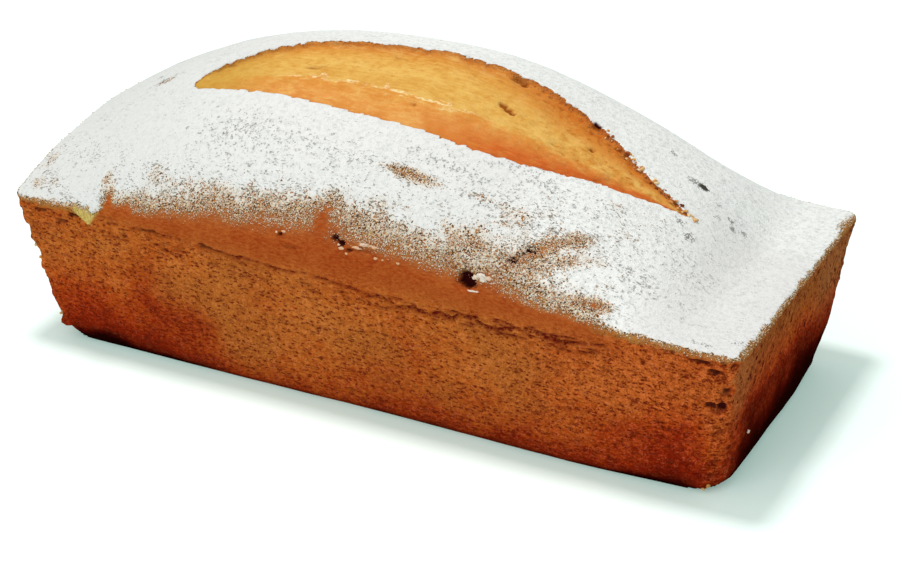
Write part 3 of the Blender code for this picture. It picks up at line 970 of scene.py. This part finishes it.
crumb = (1.0 - place_x.between(-73.0, -38.0)).mixed(crumb, (0.49, 0.265, 0.048))
mottle = clouds(start, (2.4, 1.7, 1.7), 4.0, 0.62) - 0.5
rough_part = 0.35 + 0.65 * place_x.between(20.0, 60.0)
crumb = ((mottle * -8.0 - 0.10) * rough_part * (0.35 + across * 0.65)).mixed(crumb, (0.44, 0.135, 0.016))
crumb = ((mottle * 5.0 - 0.25) * rough_part).mixed(crumb, (0.68, 0.42, 0.11))
# A painted highlight: a pale broken line along the crest of the ridge inside the split.
ridge_highlight = 1.0 - (across_wavy - 0.325).maths("ABSOLUTE", across_wavy - 0.325).between(0.0, 0.035)
ridge_highlight = ridge_highlight * (streak * 2.4 + grain * 0.8 + 0.25).between(0.1, 0.6) * (1.0 - place_x.between(8.0, 30.0))
crumb = (ridge_highlight * 0.8 * place_x.between(-48.0, -34.0)).mixed(crumb, (0.78, 0.64, 0.36))
near_red = (1.0 - across.between(0.12, 0.34)) * place_x.between(-5.0, 40.0)
crumb = (near_red * (0.95 + streak * 2.0)).mixed(crumb, (0.50, 0.108, 0.020))
far_red = across.between(0.50, 0.90) * place_x.between(8.0, 45.0)
crumb = (far_red * (0.70 + mottle * 3.6)).mixed(crumb, (0.50, 0.135, 0.018))
# Painted shade in the torn pits inside the split.
crumb = (pit * 0.85).mixed(crumb, (0.26, 0.055, 0.012))
lip_brown = 1.0 - inside.between(0.1, 1.3)
far_side = across.between(0.55, 0.8)
crumb = (lip_brown * (0.35 + 0.5 * far_side * to_right)).mixed(crumb, (0.33, 0.09, 0.022))
specks = second_chance.between(0.78, 0.86) * (1.0 - inside.between(0.4, 2.2)) * far_side
specks = specks * (0.25 + 0.75 * place_x.between(0.0, 30.0))
crumb = (specks * 0.7).mixed(crumb, (0.14, 0.06, 0.03))

# %% Sugar over it
# Each grain-sized cell is white where the sugar's share beats its chance.
share = sugar + clump * 0.35 + grain * 0.55 - 0.06
whole = share.between(0.90, 1.25)
white_cell = (share * 1.06 - first_chance).between(-0.03, 0.10)
coat = whole.maths("MAXIMUM", whole, white_cell)
thin = 1.0 - sugar.between(0.35, 1.15)
film = sugar.between(-0.30, 0.6) * 0.58
crust_under = film.mixed(wall, (0.36, 0.19, 0.065))
shade_cell = second_chance.between(0.46, 0.56) * sugar.between(0.12, 0.55)
crust_under = (shade_cell * 0.9).mixed(crust_under, (0.055, 0.026, 0.010))
SUGAR_WHITE = (0.665, 0.65, 0.635)
SUGAR_CREAM = (0.57, 0.39, 0.165)
SUGAR_SHADE = (0.535, 0.53, 0.515)
# Painted light: the sugar on the right and on the far side is made whiter, where the panel's light falls weaker on
# it.
right_painted_light = place_x.between(34.0, 58.0) * (1.0 - place_x.between(78.0, 94.0))
far_painted_light = place_y.between(4.0, 24.0) * (1.0 - right_painted_light)
# Painted shade: the sugar on the left is made greyer, where the panel's light falls stronger on it.
left_painted_shade = 1.0 - place_x.between(-100.0, -15.0)
white = (right_painted_light * 0.9).mixed(SUGAR_WHITE, (0.745, 0.735, 0.715))
white = (far_painted_light * 0.8).mixed(white, (0.735, 0.740, 0.715))
white = (left_painted_shade * 0.7).mixed(white, (0.57, 0.567, 0.55))
white = (clump * 1.8 + grain * 2.2 + 0.22).mixed(white, SUGAR_SHADE)
white = (thin * third_chance.between(-0.6, 1.1)).mixed(white, SUGAR_CREAM)
gaps = stored(start, "gaps")
# Flecks where the crust shows through the coat, painted dark grey-brown: the crust's colour plus painted shade.
fleck = clouds(start, (1.1, 0.55, 0.55), 2.0, 0.55) + drift * 0.4
thick_fleck = (fleck - sugar * 0.10 - 0.515).between(0.0, 0.05)
fleck_shade_strength = (1.0 - sugar.between(0.9, 1.6)) * 0.72 + 0.06
white = (thick_fleck * fleck_shade_strength).mixed(white, (0.15, 0.115, 0.065))
# Painted shade: the gaps in the coat are near black, as if the crust lay deep in shade.
gap_fleck = (second_chance * 0.6 + gaps * 0.5 + clump * 0.6 - 0.76).between(0.0, 0.12)
white = (gap_fleck * (0.2 + gaps * 0.42)).mixed(white, (0.050, 0.043, 0.032))
is_split = (inside + grain * 0.5).between(-0.06, 0.10)
on_top = coat * (1.0 - is_split)
body = is_split.mixed(crust_under, crumb)
colour = on_top.mixed(body, white)
# Painted shade in holes and slits: near black on the wall, brown in the split.
deep = is_split.mixed((0.036, 0.004, 0.004), (0.27, 0.070, 0.009))
colour = (hole + grain * 0.5 * hole).between(0.05, 0.95).mixed(colour, deep)
feed(colour, loaf_shader, "Base Color")

rough = 0.74 + on_top * 0.2
feed(rough, loaf_shader, "Roughness")
loaf_shader.inputs["Specular IOR Level"].default_value = 0.0

height = on_top * (0.12 + grain * 0.25 + clump * 0.2 - thick_fleck * 0.2 - gap_fleck * 0.5)
height = height - (1.0 - on_top) * (1.0 - is_split) * (open_pores * 0.32 + large_pores * 0.45 - fibre * 0.3)
height = height + is_split * (grain * 0.2 + streak * 0.35 + clump * 0.2)
bump = height.node("ShaderNodeBump", {}, {"Strength": 0.9, "Distance": MM, "Height": height})
feed(bump, loaf_shader, "Normal")
loaf.data.materials.clear()
loaf.data.materials.append(loaf_finish)
print("loaf finish:", len(loaf_finish.node_tree.nodes), "nodes")

# %% Fit the loaf to the frame
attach(loaf, "root")
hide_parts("loaf")

# %% [markdown]
# ## Loose sugar and crumbs
# Where the coat thins out, single clumps of sugar lie on the crust, a quarter to half a
# millimetre across. Each is a small irregular eight-sided body, scattered by the same field that
# makes the coat, so they thicken into it. A few larger lumps sit at the holes. They are all one
# kind, so they are joined into one mesh. Crumbs of cake cling to the tips of the split, to the
# rim and to the bottom corners, and are a second mesh.

# %% Joined small bodies
EIGHT_POINTS = np.array(((1, 0, 0), (-1, 0, 0), (0, 1, 0), (0, -1, 0), (0, 0, 1), (0, 0, -1)), float)
EIGHT_FACES = np.array(((0, 2, 4), (2, 1, 4), (1, 3, 4), (3, 0, 4), (2, 0, 5), (1, 2, 5), (3, 1, 5), (0, 3, 5)))


def round_body(divisions):
    """Points and faces of a ball, from Blender's own maker of such balls."""
    ball = bmesh.new()
    bmesh.ops.create_icosphere(ball, subdivisions=divisions, radius=1.0)
    ball.verts.index_update()
    body_points = np.array([vert.co[:] for vert in ball.verts])
    body_faces = np.array([[vert.index for vert in face.verts] for face in ball.faces])
    ball.free()
    return body_points, body_faces


def bodies(centres, sizes, body_points, body_faces, roughness, most_turn, seed):
    """Copies of one body, each with its own size, turn and dents: all points and all faces."""
    random = np.random.default_rng(seed)
    count = len(centres)
    turn = random.uniform(-most_turn, most_turn, count)
    cosine, sine = np.cos(turn)[:, None], np.sin(turn)[:, None]
    dents = 1.0 + roughness * random.uniform(-1.0, 1.0, (count, len(body_points)))
    shape = body_points[None, :, :] * dents[:, :, None] * sizes[:, None, :]
    turned_x = shape[:, :, 0] * cosine - shape[:, :, 1] * sine
    turned_y = shape[:, :, 0] * sine + shape[:, :, 1] * cosine
    turned = np.stack((turned_x, turned_y, shape[:, :, 2]), axis=2)
    if len(body_points) > len(EIGHT_POINTS):
        places = (turned + centres[:, None, :]).reshape(-1, 3)
        waver = 0.50 * lumps(places, 0.7, seed + 1) + 0.35 * lumps(places, 0.35, seed + 2)
        turned = turned * (1.0 + waver.reshape(count, -1, 1))
    all_points = turned + centres[:, None, :]
    all_faces = body_faces[None, :, :] + (np.arange(count) * len(body_points))[:, None, None]
    return all_points.reshape(-1, 3), all_faces.reshape(-1, 3)


def joined(name, parts, finish):
    """One piece from several (points, faces, tones) parts."""
    start_index = 0
    all_points, all_faces, all_tones = [], [], []
    for part_points, part_faces, part_tones in parts:
        all_points.append(part_points)
        all_faces.append(part_faces + start_index)
        all_tones.append(part_tones)
        start_index += len(part_points)
    data = bpy.data.meshes.new(name)
    data.from_pydata((np.concatenate(all_points) * MM).tolist(), [], np.concatenate(all_faces).tolist())
    layer = data.attributes.new("tone", "FLOAT", "POINT")
    layer.data.foreach_set("value", np.concatenate(all_tones).astype(np.float32))
    data.shade_smooth()
    data.materials.append(finish)
    piece = bpy.data.objects.new(name, data)
    bpy.context.scene.collection.objects.link(piece)
    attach(piece, "root")
    return piece


# %% Scatter the loose sugar
GRAIN_COUNT = 20000
# Lumps of sugar: centre, half sizes and tone from 0, soaked, to 1, dry and white.
SUGAR_LUMPS = (
    ((42.2, -51.3, 54.6), (1.6, 0.7, 1.0), 0.75),
    ((40.8, -51.5, 54.6), (1.0, 0.6, 0.6), 0.55),
    ((44.0, -50.9, 54.3), (0.9, 0.5, 0.5), 0.40),
    ((39.6, -52.8, 50.5), (1.6, 0.35, 0.24), 0.65),
    ((41.3, -52.6, 50.8), (0.6, 0.3, 0.22), 0.45),
    ((-1.4, -52.2, 54.5), (0.8, 0.4, 0.4), 0.20),
    ((0.6, -52.5, 53.4), (0.6, 0.3, 0.35), 0.05),
    ((-2.4, -52.0, 55.2), (0.4, 0.3, 0.35), 0.35),
    ((3.6, -51.9, 55.7), (1.3, 0.4, 0.35), 0.15),
    ((6.2, -51.4, 56.6), (1.9, 0.4, 0.45), 0.30),
    ((9.0, -51.5, 56.4), (1.2, 0.4, 0.40), 0.15),
    ((9.5, -52.3, 53.8), (0.6, 0.25, 0.35), 0.0),
    ((11.8, -52.3, 53.6), (0.35, 0.25, 0.25), 0.0),
    ((16.7, -52.3, 53.5), (0.5, 0.25, 0.3), 0.0),
    ((20.4, -50.8, 57.7), (0.6, 0.4, 0.4), 0.30),
    ((-20.6, -51.8, 55.5), (0.6, 0.3, 0.3), 0.10),
    ((-22.4, -52.0, 54.9), (0.4, 0.3, 0.3), 0.30),
    ((111.5, -31.4, 15.4), (0.5, 0.5, 0.5), 0.50),
)


def scatter_grains(points, normals, cover, count, seed):
    """Picks places on the skin where the coat is thin, and drops a grain on each."""
    random = np.random.default_rng(seed)
    chance = hump(cover, 0.42, 0.36) * step_up(-0.12, 0.1, cover) * (normals[:, 2] > -0.1)
    chosen = random.choice(len(points), count, replace=True, p=chance / chance.sum())
    push = random.uniform(-0.45, 0.45, (count, 3))
    push -= normals[chosen] * (push * normals[chosen]).sum(1)[:, None]
    radius = random.uniform(0.12, 0.27, count) * (0.8 + 0.35 * np.clip(cover[chosen], 0.0, 1.0))
    centres = points[chosen] + push + normals[chosen] * (radius * 0.35)[:, None]
    sizes = np.stack((radius * 1.1, radius, radius * 0.85), axis=1)
    return centres, sizes, cover[chosen]


def on_skin(centres, points, normals, lift):
    """Moves each centre to the nearest point of the skin, lifted a little."""
    settled = []
    for centre in centres:
        nearest = np.argmin(((points - centre) ** 2).sum(1))
        settled.append(points[nearest] + normals[nearest] * lift)
    return np.array(settled)


sugar_finish, sugar_shader, sugar_start = new_finish("loose sugar", (0.72, 0.70, 0.66), 0.9)
tone = stored(sugar_start, "tone")
speckle = clouds(sugar_start, (0.45, 0.45, 0.45)) - 0.5
sugar_colour = (tone + speckle * 1.8).mixed((0.56, 0.29, 0.135), (0.70, 0.67, 0.62))
feed(sugar_colour, sugar_shader, "Base Color")
sugar_shader.inputs["Specular IOR Level"].default_value = 0.1

skin_normals = read_normals(loaf.data)
centres, sizes, cover_there = scatter_grains(shaped, skin_normals, fields["sugar"], GRAIN_COUNT, 81)
grain_points, grain_faces = bodies(centres, sizes, EIGHT_POINTS, EIGHT_FACES, 0.3, np.pi, 82)
random = np.random.default_rng(83)
grain_tone = np.clip(random.normal(0.20, 0.3, GRAIN_COUNT) + 0.52 * cover_there, 0.0, 1.0)
lump_centres = on_skin(np.array([centre for centre, _, _ in SUGAR_LUMPS]), shaped, skin_normals, 0.1)
lump_sizes = np.array([size for _, size, _ in SUGAR_LUMPS])
lump_tones = np.array([tone_value for _, _, tone_value in SUGAR_LUMPS])
ball_points, ball_faces = round_body(3)
lump_points, lump_faces = bodies(lump_centres, lump_sizes, ball_points, ball_faces, 0.05, 0.15, 84)
loose_sugar = joined("loose_sugar", (
    (grain_points, grain_faces, np.repeat(grain_tone, len(EIGHT_POINTS))),
    (lump_points, lump_faces, np.repeat(lump_tones, len(ball_points))),
), sugar_finish)
print("loose sugar:", GRAIN_COUNT, "grains,", len(SUGAR_LUMPS), "lumps,", len(loose_sugar.data.polygons), "faces")

# %% Stick on the crumbs
# Crumbs of cake: centre, half sizes and tone from 0, dark, to 1, pale.
CRUMBS = (
    ((-105.2, -45.8, 7.6), (1.2, 0.8, 0.35), 0.85),
    ((-104.2, -45.9, 5.2), (1.2, 0.9, 0.6), 0.30),
    ((-110.6, -50.6, 31.4), (0.5, 0.5, 0.5), 0.80),
    ((-109.8, -49.8, 27.0), (0.4, 0.5, 0.5), 0.55),
    ((108.6, -44.8, 1.6), (0.7, 0.6, 0.5), 0.60),
    ((107.2, -45.0, 1.0), (0.6, 0.5, 0.4), 0.75),
    ((112.6, 50.4, 40.0), (0.8, 0.8, 0.6), 0.50),
)
TIP_CRUMBS = 70


def tip_crumbs(points, normals, seed):
    """Small crumbs of mixed tone along the far lip and past the right tip of the split."""
    random = np.random.default_rng(seed)
    along = 84.5 - 34.0 * random.uniform(0.0, 1.0, TIP_CRUMBS) ** 1.5
    lip = split_lips(along)[1] + 0.6 * hump(along, 78.0, 6.0)
    aside = lip + random.normal(0.0, 0.45, TIP_CRUMBS)
    on_top = np.flatnonzero((points[:, 2] > 55.0) & (points[:, 0] > 45.0) & (normals[:, 2] > 0.0))
    centres = []
    for place in np.stack((along, aside), axis=1):
        nearest = on_top[np.argmin(((points[on_top, :2] - place) ** 2).sum(1))]
        centres.append(points[nearest] + normals[nearest] * 0.05)
    length = 0.20 + 0.48 * random.uniform(0.0, 1.0, TIP_CRUMBS) ** 1.6
    sizes = np.stack((length * 1.3, length, length * 0.75), axis=1)
    tones = random.uniform(0.0, 1.0, TIP_CRUMBS)
    tones = np.where(along > 80.0, 0.55 + 0.45 * tones, tones)
    return np.array(centres), sizes, tones


crumb_finish, crumb_shader, crumb_start = new_finish("cake crumb", (0.45, 0.22, 0.06), 0.85)
crumb_tone = stored(crumb_start, "tone") + (clouds(crumb_start, (0.5, 0.5, 0.5)) - 0.5) * 0.6
CRUMB_STOPS = (
    (0.0, (0.10, 0.016, 0.006)),
    (0.35, (0.40, 0.115, 0.025)),
    (0.65, (0.58, 0.30, 0.085)),
    (1.0, (0.70, 0.56, 0.34)),
)
crumb_colour = crumb_tone.node("ShaderNodeValToRGB", {"stops": CRUMB_STOPS}, {0: crumb_tone})
feed(crumb_colour, crumb_shader, "Base Color")
crumb_shader.inputs["Specular IOR Level"].default_value = 0.1
crumb_centres = on_skin(np.array([centre for centre, _, _ in CRUMBS]), shaped, skin_normals, 0.2)
crumb_sizes = np.array([size for _, size, _ in CRUMBS])
crumb_tones = np.array([tone_value for _, _, tone_value in CRUMBS])
crumb_points, crumb_faces = bodies(crumb_centres, crumb_sizes, ball_points, ball_faces, 0.16, np.pi, 91)
tip_centres, tip_sizes, tip_tones = tip_crumbs(shaped, skin_normals, 95)
small_points, small_faces = round_body(2)
tip_points, tip_faces = bodies(tip_centres, tip_sizes, small_points, small_faces, 0.1, np.pi, 96)
crumbs = joined("crumbs", (
    (crumb_points, crumb_faces, np.repeat(crumb_tones, len(ball_points))),
    (tip_points, tip_faces, np.repeat(tip_tones, len(small_points))),
), crumb_finish)
print("crumbs:", len(CRUMBS) + TIP_CRUMBS, "with", len(crumbs.data.polygons), "faces")

# %% Measure and finish
skin_low, skin_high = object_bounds()
sizes = {
    "cad": [list(solid_low), list(solid_high)],
    "visual": [list(skin_low), list(skin_high)],
}
print("visual size, mm:", [round(side / MM, 1) for side in skin_high - skin_low])
